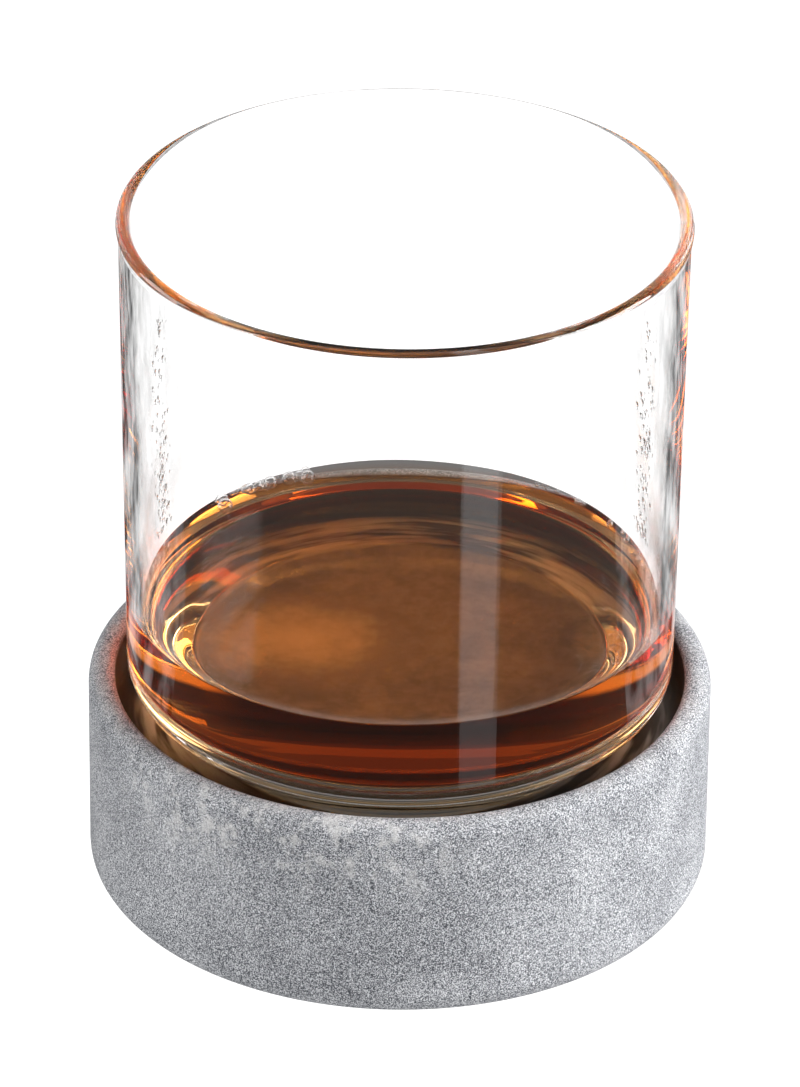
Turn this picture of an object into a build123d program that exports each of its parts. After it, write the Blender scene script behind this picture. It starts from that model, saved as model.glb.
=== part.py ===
from build123d import *

import os

# A straight-sided whiskey tumbler that stands in a recess turned in a soapstone base, with a measure
# of whiskey in it. Millimetres, +Z up. The origin is the centre of the stone's underside, on the Z
# axis that every piece shares: each is turned about it from half a section drawn in the XZ plane.

# Tumbler
glass_height = 83.5  # foot to top of rim
mouth_radius = 41.7  # outside of the wall at the rim, under the bead
wall_draft = 1.0  # how much narrower the foot is, in radius
floor_wall = 2.2  # thickness of the wall at the inside floor
rim_wall = 1.8  # thickness of the wall at the rim
floor_thickness = 7.8  # glass under the drink
heel_width = 9.5  # the base tapers in by this much, down to the foot
heel_height = 8.2  # height of that taper
heel_top_fillet = 5.0  # where the taper meets the wall
heel_foot_fillet = 1.5  # where the taper meets the foot
floor_fillet = 6.0  # inside corner of wall and floor
bead_stand_out = 0.3  # how far the rim's round bead stands out from the wall
neck_fillet = 0.8  # hollow corner under the bead
foot_ring_width = 1.7  # flat ring that the tumbler stands on, inside the taper
punt_depth = 0.5  # domed hollow inside that ring

# Whiskey
whiskey_depth = 12.2

# Soapstone base
stone_under_glass = 25.0
recess_depth = 7.8
recess_clearance = 1.8  # gap round the tumbler, at the top of the recess
lip_width = 4.0  # stone between the recess and the outside
lip_flat = 0.3  # flat left on top of the lip, between its two rounded edges
inner_lip_fillet = 1.3
stone_foot_fillet = 3.6
recess_corner_fillet = 1.0

# Heights
foot_z = stone_under_glass
floor_z = foot_z + floor_thickness
surface_z = floor_z + whiskey_depth
stone_height = stone_under_glass + recess_depth
bead_radius = (rim_wall + bead_stand_out) / 2
bead_z = foot_z + glass_height - bead_radius


def radius_at(z, start, end):
    """The radius at height z on the straight line through two (radius, height) points."""
    return start[0] + (end[0] - start[0]) * (z - start[1]) / (end[1] - start[1])


def round_corner(profile, corner, radius):
    """Fillets the vertex of the section being drawn that is nearest to corner."""
    fillet(profile.vertices().sort_by_distance(corner)[0], radius)


# The tumbler's outside and inside walls are two straight lines with a little draft
foot_radius = mouth_radius - wall_draft
outside_foot = (foot_radius, foot_z)
outside_mouth = (mouth_radius, bead_z)
heel_foot = (foot_radius - heel_width, foot_z)
heel_top = (radius_at(foot_z + heel_height, outside_foot, outside_mouth), foot_z + heel_height)
inside_mouth = (mouth_radius - rim_wall, bead_z)
inside_floor = (radius_at(floor_z, outside_foot, outside_mouth) - floor_wall, floor_z)
whiskey_edge = (radius_at(surface_z, inside_floor, inside_mouth), surface_z)
bead_centre = (inside_mouth[0] + bead_radius, bead_z)
punt_edge = (heel_foot[0] - foot_ring_width, foot_z)
punt_top = (0, foot_z + punt_depth)
punt_sphere_radius = (punt_edge[0] ** 2 + punt_depth**2) / (2 * punt_depth)

recess_radius = radius_at(stone_height, outside_foot, outside_mouth) + recess_clearance
stone_radius = recess_radius + lip_width
outer_lip_fillet = lip_width - lip_flat - inner_lip_fillet
outer_lip = (stone_radius, stone_height)
inner_lip = (recess_radius, stone_height)
recess_corner = (recess_radius, foot_z)
stone_foot = (stone_radius, 0)


with BuildPart() as stone_base:
    with BuildSketch(Plane.XZ) as stone_section:
        with BuildLine():
            Polyline(
                (0, 0), stone_foot, outer_lip, inner_lip, recess_corner, (0, foot_z), close=True
            )
        make_face()
        round_corner(stone_section, stone_foot, stone_foot_fillet)
        round_corner(stone_section, outer_lip, outer_lip_fillet)
        round_corner(stone_section, inner_lip, inner_lip_fillet)
        round_corner(stone_section, recess_corner, recess_corner_fillet)
    revolve(axis=Axis.Z)
stone_base.part.label = "stone_base"


with BuildPart() as glass_tumbler:
    with BuildSketch(Plane.XZ) as glass_section:
        with BuildLine():
            RadiusArc(punt_top, punt_edge, punt_sphere_radius)
            Polyline(
                punt_edge, heel_foot, heel_top, outside_mouth, inside_mouth, inside_floor, (0, floor_z)
            )
            Line((0, floor_z), punt_top)
        make_face()
        with Locations(bead_centre):
            Circle(bead_radius)
        neck = glass_section.vertices().filter_by_position(Axis.Y, floor_z, bead_z).sort_by(Axis.X)[-1]
        fillet(neck, neck_fillet)
        round_corner(glass_section, heel_foot, heel_foot_fillet)
        round_corner(glass_section, heel_top, heel_top_fillet)
        round_corner(glass_section, inside_floor, floor_fillet)
    revolve(axis=Axis.Z)
glass_tumbler.part.label = "glass_tumbler"


with BuildPart() as whiskey:
    with BuildSketch(Plane.XZ) as whiskey_section:
        with BuildLine():
            Polyline((0, floor_z), inside_floor, whiskey_edge, (0, surface_z), close=True)
        make_face()
        round_corner(whiskey_section, inside_floor, floor_fillet)
    revolve(axis=Axis.Z)
whiskey.part.label = "whiskey"


os.makedirs("parts", exist_ok=True)
export_step(stone_base.part, "parts/stone_base.step")
export_step(glass_tumbler.part, "parts/glass_tumbler.step")
export_step(whiskey.part, "parts/whiskey.step")
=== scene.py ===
import math
import random

import bmesh
import bpy
from mathutils import Matrix, Vector


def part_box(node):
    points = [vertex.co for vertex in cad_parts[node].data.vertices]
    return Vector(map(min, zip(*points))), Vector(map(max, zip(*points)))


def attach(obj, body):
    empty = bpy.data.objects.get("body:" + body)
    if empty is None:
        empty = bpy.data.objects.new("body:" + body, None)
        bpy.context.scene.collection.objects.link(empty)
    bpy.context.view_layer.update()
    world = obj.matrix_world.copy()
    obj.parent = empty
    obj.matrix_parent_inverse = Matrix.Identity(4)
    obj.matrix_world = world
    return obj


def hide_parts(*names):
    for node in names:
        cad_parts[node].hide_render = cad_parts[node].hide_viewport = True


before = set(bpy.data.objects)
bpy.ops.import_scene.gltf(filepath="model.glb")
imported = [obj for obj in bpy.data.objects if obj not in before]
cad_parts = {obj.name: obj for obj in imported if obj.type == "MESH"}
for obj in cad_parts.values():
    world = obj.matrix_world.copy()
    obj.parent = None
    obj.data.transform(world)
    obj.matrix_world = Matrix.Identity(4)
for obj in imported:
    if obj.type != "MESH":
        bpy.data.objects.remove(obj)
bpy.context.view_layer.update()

# A whiskey tumbler in a soapstone base. Metres, +Z up, the base's underside on the floor at z = 0.
MM = 0.001
TINY = 0.001 * MM  # places closer than this count as the same

# ---------------------------------------------------------------- sizes, from the frame where it has them
_, stone_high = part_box("stone_base")
glass_low, glass_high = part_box("glass_tumbler")
drink_low, drink_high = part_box("whiskey")

STONE_RADIUS = stone_high.x
STONE_HEIGHT = stone_high.z
LIP_WIDTH = 4.0 * MM
INNER_LIP = 1.3 * MM
OUTER_LIP = 2.4 * MM
STONE_FOOT = 3.6 * MM
RECESS_CORNER = 1.0 * MM
RECESS_RADIUS = STONE_RADIUS - LIP_WIDTH

FOOT_Z = glass_low.z
RIM_Z = glass_high.z
FLOOR_Z = drink_low.z
MOUTH_RADIUS = 41.7 * MM
FOOT_RADIUS = 40.7 * MM
RIM_WALL = 1.8 * MM
FLOOR_WALL = 2.2 * MM
BEAD = (glass_high.x - MOUTH_RADIUS + RIM_WALL) / 2
HEEL_WIDTH = 9.5 * MM  # the glass tapers in by this much at its foot
HEEL_HEIGHT = 8.2 * MM
HEEL_TOP_ROUND = 5.0 * MM
HEEL_FOOT_ROUND = 1.5 * MM
FLOOR_CORNER = 6.0 * MM
FOOT_RING = 1.7 * MM
PUNT_DEPTH = 0.5 * MM
STAND_OFF = 0.02 * MM  # hair of air between the foot and the stone

SURFACE_Z = drink_high.z
CAPILLARY = 1.75 * MM  # capillary length of the whiskey: sets how it climbs the wall
CONTACT_ANGLE = math.radians(46)
MENISCUS = CAPILLARY * math.sqrt(2 * (1 - math.sin(CONTACT_ANGLE)))
WETTING = 0.02 * MM  # how far the whiskey's own skin lies inside the glass

GLASS_IOR = 1.52
WHISKEY_IOR = 1.36
WATER_IOR = 1.34
WHISKEY_COLOUR = (0.93, 0.62, 0.1, 1)
WHISKEY_DENSITY = 120.0  # how fast the whiskey takes light, per metre
LIGHTS_AIM = 50 * MM  # height on the axis that the softboxes face
KEPT_PER_REFLECTION = 0.85  # light left after each reflection on its way through the glass
TURNS = 288  # facets round a turned piece
BEAD_Z = RIM_Z - BEAD
CONTACT_Z = SURFACE_Z + MENISCUS  # where the whiskey's surface meets the wall


def blend_value(a, b, t):
    return a + (b - a) * t


def outer_radius(z):
    """Outside of the tumbler's wall at height z."""
    return blend_value(FOOT_RADIUS, MOUTH_RADIUS, (z - FOOT_Z) / (BEAD_Z - FOOT_Z))


def inner_radius(z):
    """Inside of the tumbler's wall at height z."""
    low = outer_radius(FLOOR_Z) - FLOOR_WALL
    return blend_value(low, MOUTH_RADIUS - RIM_WALL, (z - FLOOR_Z) / (BEAD_Z - FLOOR_Z))


# ---------------------------------------------------------------- turned meshes
def line(start, end, count):
    """Points from start to end, closer together near both ends so that smooth shading stays true there."""
    points = []
    for i in range(count + 1):
        t = 0.5 - 0.5 * math.cos(math.pi * i / count)
        points.append((blend_value(start[0], end[0], t), blend_value(start[1], end[1], t)))
    return points


def arc(centre, radius, start, end, count):
    """Points on a circle, angles in degrees from the radial direction towards +Z."""
    points = []
    for i in range(count + 1):
        angle = math.radians(blend_value(start, end, i / count))
        points.append((centre[0] + radius * math.cos(angle), centre[1] + radius * math.sin(angle)))
    return points


def rounded(corner, before, after, radius, count):
    """The corner of a profile, rounded to a radius between the points before and after it."""
    to_before, to_after = Vector(before) - Vector(corner), Vector(after) - Vector(corner)
    half = to_before.angle(to_after) / 2
    to_before.normalize()
    to_after.normalize()
    centre = Vector(corner) + (to_before + to_after).normalized() * radius / math.sin(half)
    start = (Vector(corner) + to_before * radius / math.tan(half) - centre).normalized()
    end = (Vector(corner) + to_after * radius / math.tan(half) - centre).normalized()
    return [tuple(centre + start.slerp(end, i / count) * radius) for i in range(count + 1)]


def joined(*stretches):
    """One profile from several, without doubled points."""
    profile = []
    for point in (p for stretch in stretches for p in stretch):
        if not profile or math.dist(point, profile[-1]) > TINY:
            profile.append(point)
    return profile


def linked_piece(name, mesh, materials):
    """A scene object for a finished mesh."""
    for material in materials:
        mesh.materials.append(material)
    piece = bpy.data.objects.new(name, mesh)
    bpy.context.scene.collection.objects.link(piece)
    return piece


def turned(name, profile, materials, slot_of=None):
    """A closed mesh turned about Z from a profile of (radius, height) points that starts and ends on the
    axis. slot_of(radius, height) picks a face's material."""
    vertices, faces, slots = [], [], []
    rings = []
    for r, z in profile:
        if r < TINY:
            rings.append([len(vertices)])
            vertices.append((0.0, 0.0, z))
            continue
        rings.append([len(vertices) + k for k in range(TURNS)])
        for k in range(TURNS):
            a = 2 * math.pi * k / TURNS
            vertices.append((r * math.cos(a), r * math.sin(a), z))
    for i in range(len(rings) - 1):
        low, high = rings[i], rings[i + 1]
        middle = ((profile[i][0] + profile[i + 1][0]) / 2, (profile[i][1] + profile[i + 1][1]) / 2)
        slot = slot_of(*middle) if slot_of else 0
        for k in range(TURNS):
            n = (k + 1) % TURNS
            if len(low) == 1:
                faces.append((low[0], high[n], high[k]))
            elif len(high) == 1:
                faces.append((low[k], low[n], high[0]))
            else:
                faces.append((low[k], low[n], high[n], high[k]))
            slots.append(slot)
    mesh = bpy.data.meshes.new(name)
    mesh.from_pydata(vertices, [], faces)
    piece = linked_piece(name, mesh, materials)
    mesh.polygons.foreach_set("material_index", slots)
    mesh.polygons.foreach_set("use_smooth", [True] * len(faces))
    mesh.update()
    return piece


# ---------------------------------------------------------------- materials
INPUT_NAMES = {"ior": "IOR", "specular": "Specular IOR Level"}


class Nodes:
    """Short ways to add nodes to a material's or the world's tree. A value is a number or a node's output."""

    def __init__(self, tree):
        self.tree = tree

    def add(self, kind, **inputs):
        """A node with values for some of its inputs, whose names are in lower case with _ for a space."""
        node = self.tree.nodes.new("ShaderNode" + kind)
        for name, value in inputs.items():
            label = INPUT_NAMES.get(name, name.replace("_", " ").title())
            self.feed(node.inputs[label], value)
        return node

    def feed(self, socket, value):
        if isinstance(value, bpy.types.NodeSocket):
            self.tree.links.new(value, socket)
        else:
            socket.default_value = value

    def maths(self, operation, first, second=0.0):
        node = self.add("Math")
        node.operation = operation
        self.feed(node.inputs[0], first)
        self.feed(node.inputs[1], second)
        return node.outputs[0]

    def ramp(self, source, low, high, to_low, to_high):
        """to_low where the source is low, to_high where it is high, and a smooth step between."""
        node = self.add("MapRange", value=source, from_min=low, from_max=high, to_min=to_low, to_max=to_high)
        node.interpolation_type = "SMOOTHSTEP"
        return node.outputs["Result"]

    def noise(self, scale, detail, roughness, offset=0.0, stretch=(1, 1, 1)):
        """Noise in the piece's own space. An offset of its own keeps one noise apart from another."""
        place = self.add("VectorMath")
        place.operation = "MULTIPLY_ADD"
        self.feed(place.inputs[0], self.add("TexCoord").outputs["Object"])
        self.feed(place.inputs[1], stretch)
        self.feed(place.inputs[2], (offset, offset * 0.7, -offset))
        node = self.add("TexNoise", vector=place.outputs[0], scale=scale, detail=detail, roughness=roughness)
        return node.outputs["Fac"]

    def mixed(self, factor, first, second):
        return self.add("Mix", factor=factor, a=first, b=second).outputs["Result"]

    def mixed_colour(self, factor, first, second):
        node = self.add("Mix")
        node.data_type = "RGBA"
        for name, value in (("Factor", factor), ("A", first), ("B", second)):
            self.feed(node.inputs[name], value)
        return node.outputs["Result"]

    def bump(self, height, distance, strength=1.0):
        return self.add("Bump", height=height, distance=distance, strength=strength).outputs["Normal"]

    def choice(self, factor, first, second):
        """The first shader at factor 0, the second at 1."""
        node = self.add("MixShader", fac=factor)
        self.feed(node.inputs[1], first.outputs[0])
        self.feed(node.inputs[2], second.outputs[0])
        return node

    def path(self, name):
        """A fact about the ray: of what kind it is, or how often it was turned on its way."""
        return self.add("LightPath").outputs[name]


def new_material(name):
    material = bpy.data.materials.new(name)
    material.use_nodes = True
    material.node_tree.nodes.clear()
    nodes = Nodes(material.node_tree)
    return material, nodes, nodes.add("OutputMaterial")


def clear_glass():
    """Pressed glass: clear, with long low waves in its walls."""
    material, nodes, output = new_material("clear_glass")
    waves = nodes.noise(28, 1.0, 0.5, 0.4, stretch=(1, 1, 1.8))
    glass = nodes.add("BsdfGlass", roughness=0.0, ior=GLASS_IOR, normal=nodes.bump(waves, 0.06 * MM))
    nodes.feed(output.inputs["Surface"], glass.outputs[0])
    return material


def wetted_glass():
    """The inside of the glass where the whiskey touches it: the whiskey's own skin does the bending there."""
    material, nodes, output = new_material("wetted_glass")
    nodes.feed(output.inputs["Surface"], nodes.add("BsdfTransparent").outputs[0])
    return material


def whiskey_material():
    """One liquid with two skins: open to the air on top, against glass everywhere else."""
    material, nodes, output = new_material("whiskey")
    streaks = nodes.bump(nodes.noise(45, 2.0, 0.5, 0.9, stretch=(1, 1, 7)), 0.03 * MM)
    open_skin = nodes.add("BsdfGlass", roughness=0.0, ior=WHISKEY_IOR)
    glass_skin = nodes.add("BsdfGlass", roughness=0.0, ior=WHISKEY_IOR / GLASS_IOR, normal=streaks)
    against_glass = nodes.add("Attribute")
    against_glass.attribute_name = "against_glass"
    skin = nodes.choice(against_glass.outputs["Fac"], open_skin, glass_skin)
    nodes.feed(output.inputs["Surface"], skin.outputs[0])
    body = nodes.add("VolumeAbsorption", color=WHISKEY_COLOUR, density=WHISKEY_DENSITY)
    nodes.feed(output.inputs["Volume"], body.outputs[0])
    return material


def plain_liquid(name, ior):
    material, nodes, output = new_material(name)
    clear = nodes.add("BsdfGlass", roughness=0.0, ior=ior)
    nodes.feed(output.inputs["Surface"], clear.outputs[0])
    return material


def length(nodes, x, y):
    return nodes.maths("SQRT", nodes.maths("ADD", nodes.maths("POWER", x, 2.0), nodes.maths("POWER", y, 2.0)))


def scuffs(nodes, place):
    """Chalky scuffs: on the front left of the upper part, and round the top edge."""
    x, y, z = place
    high = nodes.ramp(z, STONE_HEIGHT - 15.8 * MM, STONE_HEIGHT - 3.8 * MM, 0.0, 1.0)
    left_front = nodes.maths("MULTIPLY", nodes.ramp(y, -18 * MM, -32 * MM, 0.0, 1.0),
                             nodes.ramp(x, 18 * MM, -4 * MM, 0.0, 1.0))
    chalk = nodes.ramp(nodes.noise(260, 8.0, 0.75, 7.7), 0.49, 0.62, 0.0, 1.0)
    scuff = nodes.maths("MULTIPLY", nodes.maths("MULTIPLY", high, left_front), chalk)
    edge = nodes.maths("MULTIPLY", nodes.ramp(z, STONE_HEIGHT - 1.6 * MM, STONE_HEIGHT - 0.2 * MM, 0.0, 1.0),
                       nodes.ramp(nodes.noise(200, 8.0, 0.75, 2.9), 0.40, 0.66, 0.0, 1.0))
    return nodes.maths("MAXIMUM", nodes.maths("MULTIPLY", scuff, 0.6), nodes.maths("MULTIPLY", edge, 0.25))


def recess_painted_light_and_shade(nodes, place, from_axis):
    """How bright the recess is, with painted light and painted shade: mottled, with one patch of painted
    light (a painted caustic) under the tumbler's foot, turning marks round that painted pale at the back as
    painted light, and painted nearly black in front and up its wall as painted shade."""
    x, y, z = place
    # Painted shade: the nearly black tone painted into the recess's front, its outer corner and its wall.
    painted_shade = 0.04
    mottle = nodes.maths("ADD", nodes.ramp(nodes.noise(420, 4.0, 0.7, 5.5), 0.3, 0.7, -0.05, 0.05),
                         nodes.ramp(nodes.noise(90, 2.0, 0.5, 6.5), 0.3, 0.7, -0.05, 0.05))
    # Painted light: a bright patch under the foot that stands in for light focused through the glass.
    along = nodes.maths("MULTIPLY", nodes.maths("ADD", x, 15 * MM), 60.0)
    across = nodes.maths("MULTIPLY", nodes.maths("ADD", y, -3 * MM), 80.0)
    uneven = nodes.maths("ADD", length(nodes, along, across), nodes.maths("MULTIPLY", mottle, 3.5))
    painted_light_patch = nodes.ramp(uneven, 0.0, 1.15, 0.60, 0.0)
    under = nodes.maths("ADD", nodes.maths("ADD", mottle, painted_light_patch), 0.30)

    round_axis = nodes.add("CombineXYZ")
    nodes.feed(round_axis.inputs[0], nodes.maths("MULTIPLY", from_axis, 420.0))
    nodes.feed(round_axis.inputs[1], nodes.maths("MULTIPLY", nodes.maths("ARCTAN2", x, y), 1.6))
    marks = nodes.add("TexNoise", vector=round_axis.outputs[0], scale=1.0, detail=3.0).outputs["Fac"]
    # Turning marks, painted pale at the back as painted light and dark in front as painted shade, then darker
    # towards the wall as painted shade.
    outer = nodes.maths("MULTIPLY", nodes.ramp(marks, 0.40, 0.60, 0.10, 0.80),
                        nodes.ramp(y, -24 * MM, 0.0, 0.06, 1.0))
    outer = nodes.mixed(nodes.ramp(from_axis, 36 * MM, 41 * MM, 0.0, 1.0), outer, painted_shade)
    ground = nodes.mixed(nodes.ramp(from_axis, 29.8 * MM, 31.8 * MM, 0.0, 1.0), under, outer)
    # Painted shade up the recess wall.
    return nodes.mixed(nodes.ramp(z, FOOT_Z + 1.0 * MM, FOOT_Z + 3.0 * MM, 0.0, 1.0), ground, painted_shade)


def soapstone():
    """Matt grey soapstone: fine dark and pale grain, soft clouds, chalky scuffs, pits, and painted light and
    painted shade in the recess.
    """
    material, nodes, output = new_material("soapstone")
    separate = nodes.add("SeparateXYZ")
    nodes.feed(separate.inputs[0], nodes.add("TexCoord").outputs["Object"])
    place = tuple(separate.outputs[axis] for axis in "XYZ")
    x, y, z = place

    grain = nodes.ramp(nodes.noise(5200, 2.0, 0.7), 0.37, 0.65, 0.0, 1.0)
    coarse = nodes.ramp(nodes.noise(2400, 2.0, 0.7, 0.3), 0.36, 0.64, -0.09, 0.09)
    clouds = nodes.ramp(nodes.noise(130, 4.0, 0.6, 1.7), 0.32, 0.68, -0.035, 0.035)
    patches = nodes.ramp(nodes.noise(60, 4.0, 0.6, 4.1), 0.35, 0.65, -0.06, 0.04)
    pits = nodes.ramp(nodes.noise(900, 1.0, 0.5, 11.3), 0.25, 0.31, 1.0, 0.0)
    value = nodes.maths("ADD", nodes.maths("MULTIPLY", grain, 0.78), -0.01)
    for part in (coarse, clouds, patches):
        value = nodes.maths("ADD", value, part)
    value = nodes.maths("SUBTRACT", value, nodes.maths("MULTIPLY", pits, 0.2))

    stone_colour = nodes.add("ValToRGB", fac=value)
    elements = stone_colour.color_ramp.elements
    for position, colour in (
        (0.0, (0.055, 0.060, 0.070)),
        (0.35, (0.27, 0.277, 0.295)),
        (0.7, (0.62, 0.63, 0.655)),
    ):
        element = elements.new(position)
        element.color = (*colour, 1)
    elements.remove(elements[0])
    elements[-1].color = (0.85, 0.85, 0.86, 1)
    chalky = nodes.mixed_colour(scuffs(nodes, place), stone_colour.outputs["Color"], (0.66, 0.65, 0.64, 1))

    from_axis = length(nodes, x, y)
    inside = nodes.ramp(from_axis, RECESS_RADIUS + 1.0 * MM, RECESS_RADIUS + 0.2 * MM, 0.0, 1.0)
    below_lip = nodes.ramp(z, STONE_HEIGHT - 0.4 * MM, STONE_HEIGHT - 1.6 * MM, 0.0, 1.0)
    # The recess's colour: mottle and turning marks with painted light and painted shade, tinted warm as
    # painted light through the whiskey.
    ground = recess_painted_light_and_shade(nodes, place, from_axis)
    ground_colour = nodes.add("CombineXYZ")
    for i, share in enumerate((1.06, 0.98, 0.90)):
        nodes.feed(ground_colour.inputs[i], nodes.maths("MULTIPLY", ground, share))
    surface = nodes.mixed_colour(nodes.maths("MULTIPLY", inside, below_lip), chalky, ground_colour.outputs[0])

    height = nodes.maths("ADD", nodes.maths("MULTIPLY", grain, 0.6), nodes.maths("MULTIPLY", coarse, 1.5))
    height = nodes.maths("SUBTRACT", height, nodes.maths("MULTIPLY", pits, 1.2))
    shader = nodes.add("BsdfPrincipled", base_color=surface, roughness=0.88, specular=0.25,
                       normal=nodes.bump(height, 0.12 * MM, 0.35))
    nodes.feed(output.inputs["Surface"], shader.outputs[0])
    return material


# ---------------------------------------------------------------- pieces
def make_stone():
    lip_outer = (STONE_RADIUS - OUTER_LIP, STONE_HEIGHT - OUTER_LIP)
    lip_inner = (RECESS_RADIUS + INNER_LIP, STONE_HEIGHT - INNER_LIP)
    foot = (STONE_RADIUS - STONE_FOOT, STONE_FOOT)
    corner = (RECESS_RADIUS - RECESS_CORNER, FOOT_Z + RECESS_CORNER)
    profile = joined(
        line((0, 0), (foot[0], 0), 12),
        arc(foot, STONE_FOOT, -90, 0, 14),
        line((STONE_RADIUS, STONE_FOOT), (STONE_RADIUS, lip_outer[1]), 40),
        arc(lip_outer, OUTER_LIP, 0, 90, 12),
        arc(lip_inner, INNER_LIP, 90, 180, 8),
        line((RECESS_RADIUS, lip_inner[1]), (RECESS_RADIUS, corner[1]), 8),
        arc(corner, RECESS_CORNER, 0, -90, 6),
        line((corner[0], FOOT_Z), (0, FOOT_Z), 30),
    )
    return turned("soapstone_base", profile, [soapstone()])


def make_glass():
    foot = FOOT_Z + STAND_OFF
    heel_foot = (FOOT_RADIUS - HEEL_WIDTH, foot)
    heel_top = (outer_radius(foot + HEEL_HEIGHT), foot + HEEL_HEIGHT)
    ring_inside = heel_foot[0] - FOOT_RING
    punt_sphere = (ring_inside**2 + PUNT_DEPTH**2) / (2 * PUNT_DEPTH)
    punt_angle = math.degrees(math.asin(ring_inside / punt_sphere))
    punt_centre = (0, foot + PUNT_DEPTH - punt_sphere)
    wall = (MOUTH_RADIUS, BEAD_Z)
    foot_round = rounded(heel_foot, (0, foot), heel_top, HEEL_FOOT_ROUND, 8)
    top_round = rounded(heel_top, heel_foot, wall, HEEL_TOP_ROUND, 16)
    bead = (MOUTH_RADIUS - RIM_WALL + BEAD, BEAD_Z)
    corner = (inner_radius(FLOOR_Z + FLOOR_CORNER) - FLOOR_CORNER, FLOOR_Z + FLOOR_CORNER)
    neck_z = BEAD_Z - 1.2 * BEAD
    profile = joined(
        arc(punt_centre, punt_sphere, 90, 90 - punt_angle, 24),
        line((ring_inside, foot), foot_round[0], 4),
        foot_round,
        line(foot_round[-1], top_round[0], 12),
        top_round,
        line(top_round[-1], (outer_radius(neck_z), neck_z), 48),
        arc(bead, BEAD, -32, 180, 40),
        line((inner_radius(BEAD_Z), BEAD_Z), (inner_radius(CONTACT_Z), CONTACT_Z), 40),
        line((inner_radius(CONTACT_Z), CONTACT_Z), (inner_radius(corner[1]), corner[1]), 16),
        arc(corner, FLOOR_CORNER, 0, -90, 24),
        line((corner[0], FLOOR_Z), (0, FLOOR_Z), 24),
    )

    def slot_of(r, z):
        """The second material, wetted glass, wherever the whiskey touches."""
        return int(FLOOR_Z - TINY < z < CONTACT_Z and r < inner_radius(z) + 10 * TINY)

    return turned("tumbler_glass", profile, [clear_glass(), wetted_glass()], slot_of)


def make_whiskey():
    corner = (inner_radius(FLOOR_Z + FLOOR_CORNER) - FLOOR_CORNER, FLOOR_Z + FLOOR_CORNER)
    edge = inner_radius(CONTACT_Z)

    def reach(rise):
        """Distance from an upright wall at which a liquid stands this far above its level."""
        return CAPILLARY * (math.acosh(2 * CAPILLARY / rise) - math.sqrt(4 - (rise / CAPILLARY) ** 2))

    rises = [MENISCUS * (1 - (i / 40) ** 0.8) for i in range(40)] + [MENISCUS * 0.012, MENISCUS * 0.004, 0.0]
    top = [(edge - reach(rise) + reach(MENISCUS), SURFACE_Z + rise) for rise in rises if rise]
    top += line((top[-1][0], SURFACE_Z), (0, SURFACE_Z), 24)[1:]
    profile = joined(
        line((0, FLOOR_Z - WETTING), (corner[0], FLOOR_Z - WETTING), 24),
        arc(corner, FLOOR_CORNER + WETTING, -90, 0, 24),
        line((inner_radius(corner[1]) + WETTING, corner[1]), (edge + WETTING, CONTACT_Z), 16),
        top,
    )

    drink = turned("whiskey_drink", profile, [whiskey_material()])
    skin = drink.data.attributes.new("against_glass", "FLOAT", "FACE")
    for face in drink.data.polygons:
        x, y, z = face.center
        at_wall = math.hypot(x, y) > inner_radius(z) - 4 * TINY
        skin.data[face.index].value = float(z < SURFACE_Z - TINY or at_wall)
    return drink


def outward(azimuth):
    """Unit vector away from the axis. Azimuth 0 is the front, 90 the right, degrees."""
    return Vector((math.sin(math.radians(azimuth)), -math.cos(math.radians(azimuth)), 0))


def add_ball(work, centre, sizes, turn, hollow=False):
    """One small round body in a bmesh, its sizes along its own axes. A hollow one's faces look inward."""
    turned_and_sized = Matrix.Rotation(math.radians(turn), 4, "Z") @ Matrix.Diagonal((*sizes, 1))
    matrix = Matrix.Translation(centre) @ turned_and_sized
    ball = bmesh.ops.create_icosphere(work, subdivisions=3, radius=1.0, matrix=matrix)
    faces = {face for vertex in ball["verts"] for face in vertex.link_faces}
    for face in faces:
        face.smooth = True
    if hollow:
        bmesh.ops.reverse_faces(work, faces=list(faces))


def finished(work, name, material):
    mesh = bpy.data.meshes.new(name)
    work.to_mesh(mesh)
    work.free()
    return linked_piece(name, mesh, [material])


def make_bubbles():
    """Thin-skinned bubbles that the pour left along the edge of the whiskey, in a few rafts."""
    dice = random.Random(11)
    work = bmesh.new()
    for azimuth, spread, count, largest in (
        (216, 13, 24, 1.25),
        (139, 8, 12, 0.75),
        (112, 12, 16, 0.55),
        (255, 8, 10, 0.6),
        (285, 6, 8, 0.5),
        (64, 10, 9, 0.45),
    ):
        for _ in range(count):
            place = azimuth + spread * dice.uniform(-1, 1)
            size = largest * MM * dice.uniform(0.35, 1.0) ** 1.4
            from_wall = size * dice.uniform(1.1, 2.2)
            rise = MENISCUS * math.exp(-from_wall / CAPILLARY)
            centre = outward(place) * (inner_radius(SURFACE_Z) - from_wall)
            low, inside, low_inside = 0.9 * size, 0.88 * size, 0.78 * size
            centre.z = SURFACE_Z + rise + low
            add_ball(work, centre, (size, size, low), 0)
            add_ball(work, centre, (inside, inside, low_inside), 0, hollow=True)
    return finished(work, "surface_bubbles", plain_liquid("bubble_film", WHISKEY_IOR))


def make_droplets():
    """Fine droplets on the inside of the wall at both sides, in uneven upright drifts."""
    lowest, highest, largest = SURFACE_Z + 4 * MM, RIM_Z - 24 * MM, 0.48 * MM
    dice = random.Random(23)
    work = bmesh.new()
    for middle in (107, 252):
        for _ in range(170):
            place = middle + dice.gauss(0, 2.5)
            z = blend_value(lowest, highest, dice.random() ** 1.5)
            size = largest * dice.uniform(0.3, 1.0) ** 1.6
            flat = 0.45 * size
            centre = outward(place) * (inner_radius(z) - flat - WETTING)
            centre.z = z
            add_ball(work, centre, (size, flat, size * dice.uniform(1.0, 1.5)), place)
    return finished(work, "wall_droplets", plain_liquid("droplet", WATER_IOR))


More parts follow.
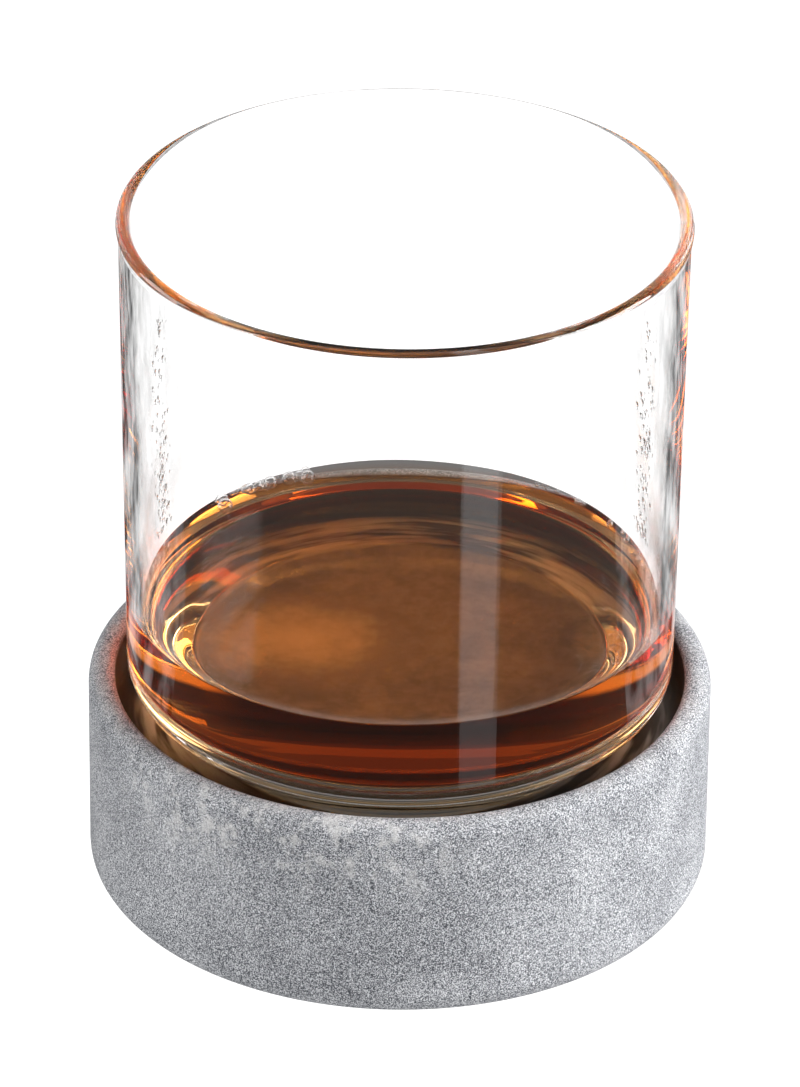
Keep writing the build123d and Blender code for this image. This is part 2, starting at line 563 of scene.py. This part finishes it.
stone = make_stone()
glass = make_glass()
whiskey = make_whiskey()
for piece, body, node, slot in (
    (stone, "base", "stone_base", "soapstone"),
    (glass, "tumbler", "glass_tumbler", "clear_glass"),
    (whiskey, "tumbler", "whiskey", "whiskey"),
):
    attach(piece, body)
    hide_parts(node)
for piece, slot in ((make_bubbles(), "whiskey"), (make_droplets(), "clear_glass")):
    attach(piece, "tumbler")


# ---------------------------------------------------------------- studio
def flat_card(name, outline, height, material):
    """A flat stage card that lies level at the given height."""
    mesh = bpy.data.meshes.new(name)
    mesh.from_pydata([(x, y, 0) for x, y in outline], [], [tuple(range(len(outline)))])
    card = linked_piece(name, mesh, [material])
    card.location.z = height
    return card


def hidden(card):
    """Shows a card only to rays that glass or whiskey has mirrored or bent."""
    card.visible_camera = card.visible_diffuse = card.visible_shadow = False


def sector(inner, outer, start, end, count=24):
    """Outline of a piece of a ring. Azimuth 0 is the front, 90 the right, degrees."""
    outline = []
    for radius, first, last in ((inner, start, end), (outer, end, start)):
        for i in range(count + 1):
            point = outward(blend_value(first, last, i / count)) * radius
            outline.append((point.x, point.y))
    return outline


def dimmed(nodes, strength):
    """A brightness that loses a little with each reflection on the ray's way, as real glass takes from it."""
    kept = nodes.maths("POWER", KEPT_PER_REFLECTION, nodes.path("Glossy Depth"))
    return nodes.maths("MULTIPLY", kept, strength)


def through_whiskey(nodes):
    """1 for a ray that the camera sends through the whiskey, past the transparent skin of wetted glass, and 0
    for all others."""
    wetted = nodes.maths("GREATER_THAN", nodes.path("Transparent Depth"), 0.5)
    direct = nodes.maths("LESS_THAN", nodes.path("Diffuse Depth"), 0.5)
    return nodes.maths("MULTIPLY", wetted, direct)


def seen_plainly(nodes):
    """1 where the camera looks straight, or straight through clear glass, with no reflection on the way."""
    unreflected = nodes.maths("LESS_THAN", nodes.path("Glossy Depth"), 0.5)
    undiffused = nodes.maths("LESS_THAN", nodes.path("Diffuse Depth"), 0.5)
    return nodes.maths("MULTIPLY", unreflected, undiffused)


def make_floor():
    """A white light table: it shows no shadows."""
    half = 6.0
    material, nodes, output = new_material("floor")
    strength = 0.8
    for ray, amount in (("Is Glossy Ray", 1.0), ("Is Transmission Ray", 1.4), ("Is Camera Ray", 1.2)):
        strength = nodes.mixed(nodes.path(ray), strength, amount)
    shine = nodes.add("Emission", strength=dimmed(nodes, strength))
    nodes.feed(output.inputs["Surface"], shine.outputs[0])
    flat_card("floor", [(-half, -half), (half, -half), (half, half), (-half, half)], -0.02 * MM, material)


def only_for(name, chosen, dim, bright=None, colour=(1, 1, 1)):
    """A shining card that is there only for rays through the whiskey, or only for reflections in clear glass.
    With two brightnesses it is mottled, which the walls of the glass draw out into streaks."""
    material, nodes, output = new_material(name)
    strength = nodes.ramp(nodes.noise(60, 3.0, 0.5), 0.38, 0.64, dim, bright) if bright else dim
    shine = nodes.add("Emission", color=(*colour, 1), strength=strength)
    passed = through_whiskey(nodes)
    reflected = nodes.maths("MULTIPLY", nodes.maths("SUBTRACT", 1.0, passed),
                            nodes.maths("SUBTRACT", 1.0, seen_plainly(nodes)))
    there = passed if chosen == "whiskey" else reflected
    card = nodes.choice(there, nodes.add("BsdfTransparent"), shine)
    nodes.feed(output.inputs["Surface"], card.outputs[0])
    return material


def make_flags():
    """Dark cards on the light table, which clear glass mirrors as the dark bands in its wall. The gap between
    the two in front is a pale strip there."""
    dark = only_for("flag", "reflections", 0.20, colour=(1.0, 0.76, 0.64))
    uneven = only_for("flag_beside", "reflections", 0.05, 0.95)
    beside = [(0.050, 0.058), (0.130, 0.440), (0.600, 0.440), (0.600, -0.020), (0.060, -0.020)]
    front_left = [(-0.600, 0.000), (-0.050, 0.000), (-0.046, -0.050), (0.030, -0.050),
                  (0.031, -0.087), (0.200, -0.450), (-0.600, -0.450)]
    front_right = [(0.040, -0.050), (0.046, -0.050), (0.050, 0.000), (0.600, 0.000),
                   (0.600, -0.500), (0.420, -0.500), (0.049, -0.078)]
    mirrored = [(-x, y) for x, y in reversed(beside)]
    for name, outline, height, material in (
        ("flag_right", beside, 0.1 * MM, uneven),
        ("flag_left", mirrored, 0.1 * MM, uneven),
        ("flag_front_left", front_left, 0.15 * MM, dark),
        ("flag_front_right", front_right, 0.15 * MM, dark),
    ):
        hidden(flat_card(name, outline, height, material))


def make_shade():
    """The base's own shadow on the floor behind it, which only rays through the whiskey meet."""
    for name, inner, outer, half, strength in (
        ("shade_near", 0.047, 0.102, 32, 0.18),
        ("shade_middle", 0.102, 0.130, 30, 0.32),
        ("shade_far", 0.130, 5.0, 18, 0.10),
    ):
        material = only_for(name, "whiskey", strength)
        hidden(flat_card(name, sector(inner, outer, 180 - half, 180 + half), 0.2 * MM, material))


def softbox(name, azimuth, elevation, distance, width, height, power, mirrored=True):
    """An area light that faces the tumbler. Azimuth 0 is the side seen from the front, 90 its right."""
    tilt = math.radians(elevation)
    back = outward(azimuth) * math.cos(tilt) + Vector((0, 0, math.sin(tilt)))
    light = bpy.data.lights.new(name, "AREA")
    light.shape = "RECTANGLE"
    light.size = width
    light.size_y = height
    light.energy = power
    lamp = bpy.data.objects.new(name, light)
    lamp.location = Vector((0, 0, LIGHTS_AIM)) + back * distance
    lamp.rotation_mode = "QUATERNION"
    lamp.rotation_quaternion = (-back).to_track_quat("-Z", "Y")
    lamp.visible_camera = False
    lamp.visible_glossy = lamp.visible_transmission = mirrored
    bpy.context.scene.collection.objects.link(lamp)


def height_at(elevation):
    """Height of a unit direction at this elevation, degrees."""
    return math.sin(math.radians(elevation))


def make_world():
    """White where it is seen plainly. Reflections get a low bright horizon under a grey room. Rays through
    the whiskey meet a dark strip between two low lights behind the glass, and in front a light room with a
    brighter band."""
    world = bpy.data.worlds.new("studio")
    bpy.context.scene.world = world
    world.use_nodes = True
    world.node_tree.nodes.clear()
    nodes = Nodes(world.node_tree)
    output = nodes.add("OutputWorld")
    direction = nodes.add("SeparateXYZ")
    nodes.feed(direction.inputs[0], nodes.add("TexCoord").outputs["Generated"])
    x, y, z = (direction.outputs[axis] for axis in "XYZ")

    ahead = nodes.maths("MULTIPLY", nodes.ramp(y, -0.15, -0.45, 0.0, 0.85), nodes.path("Is Transmission Ray"))
    horizon = nodes.maths("MULTIPLY", nodes.ramp(z, height_at(14), height_at(22), 0.55, 0.0),
                          nodes.maths("SUBTRACT", 1.0, ahead))
    room = nodes.maths("ADD", horizon, nodes.ramp(z, height_at(50), height_at(65), 0.22, 0.6))
    behind = nodes.maths("MULTIPLY", nodes.ramp(nodes.maths("ABSOLUTE", x), 0.25, 0.42, 0.02, 1.8),
                         nodes.ramp(z, height_at(22), height_at(27), 1.0, 0.03))
    window = nodes.maths("MULTIPLY", nodes.ramp(z, height_at(24), height_at(30), 0.0, 1.1),
                         nodes.ramp(z, height_at(38), height_at(46), 1.0, 0.0))
    in_front = nodes.maths("ADD", nodes.ramp(z, height_at(5), height_at(10), 1.2, 0.7), window)
    in_whiskey = nodes.mixed(nodes.ramp(y, -0.05, 0.05, 0.0, 1.0), in_front, behind)
    clear_view = nodes.mixed(seen_plainly(nodes), room, 1.0)
    strength = dimmed(nodes, nodes.mixed(through_whiskey(nodes), clear_view, in_whiskey))
    background = nodes.add("Background", strength=strength)
    nodes.feed(output.inputs["Surface"], background.outputs[0])


def make_camera():
    """Looks down 30 degrees on the axis of the tumbler, from the front, through a long lens."""
    elevation, roll = math.radians(29.81), math.radians(0.65)
    distance, height, aside = 1.1733, 53.7 * MM, -0.2 * MM
    forward = Vector((0, math.cos(elevation), -math.sin(elevation)))
    right = Vector((1, 0, 0))
    up = right.cross(forward)
    tilted_right = right * math.cos(roll) + up * math.sin(roll)
    tilted_up = up * math.cos(roll) - right * math.sin(roll)
    data = bpy.data.cameras.new("camera")
    data.sensor_width = 36.0
    data.lens = 261.9
    data.clip_start, data.clip_end = 0.05, 50.0
    camera = bpy.data.objects.new("camera", data)
    rotation = Matrix((tilted_right, tilted_up, -forward)).transposed()
    place = Vector((aside, 0, height)) - forward * distance
    camera.matrix_world = Matrix.Translation(place) @ rotation.to_4x4()
    bpy.context.scene.collection.objects.link(camera)
    bpy.context.scene.camera = camera


make_floor()
make_flags()
make_shade()
make_world()
softbox("softbox_right", 88, 18, 0.7, 0.40, 0.45, 8.0)
softbox("softbox_left", -105, 18, 0.8, 0.35, 0.40, 2.2)
softbox("softbox_front", -15, 16, 0.9, 0.50, 0.30, 3.4, mirrored=False)
softbox("softbox_above", 60, 72, 0.9, 0.25, 0.25, 3.0, mirrored=False)
make_camera()

scene = bpy.context.scene
scene.view_settings.view_transform = "Standard"
scene.cycles.use_denoising = True
scene.cycles.max_bounces = 128
scene.cycles.transmission_bounces = 64
scene.cycles.glossy_bounces = 96
scene.cycles.diffuse_bounces = 4
scene.cycles.transparent_max_bounces = 32
scene.cycles.caustics_refractive = True
scene.cycles.caustics_reflective = True
scene.cycles.blur_glossy = 0.0
scene.cycles.sample_clamp_indirect = 6.0
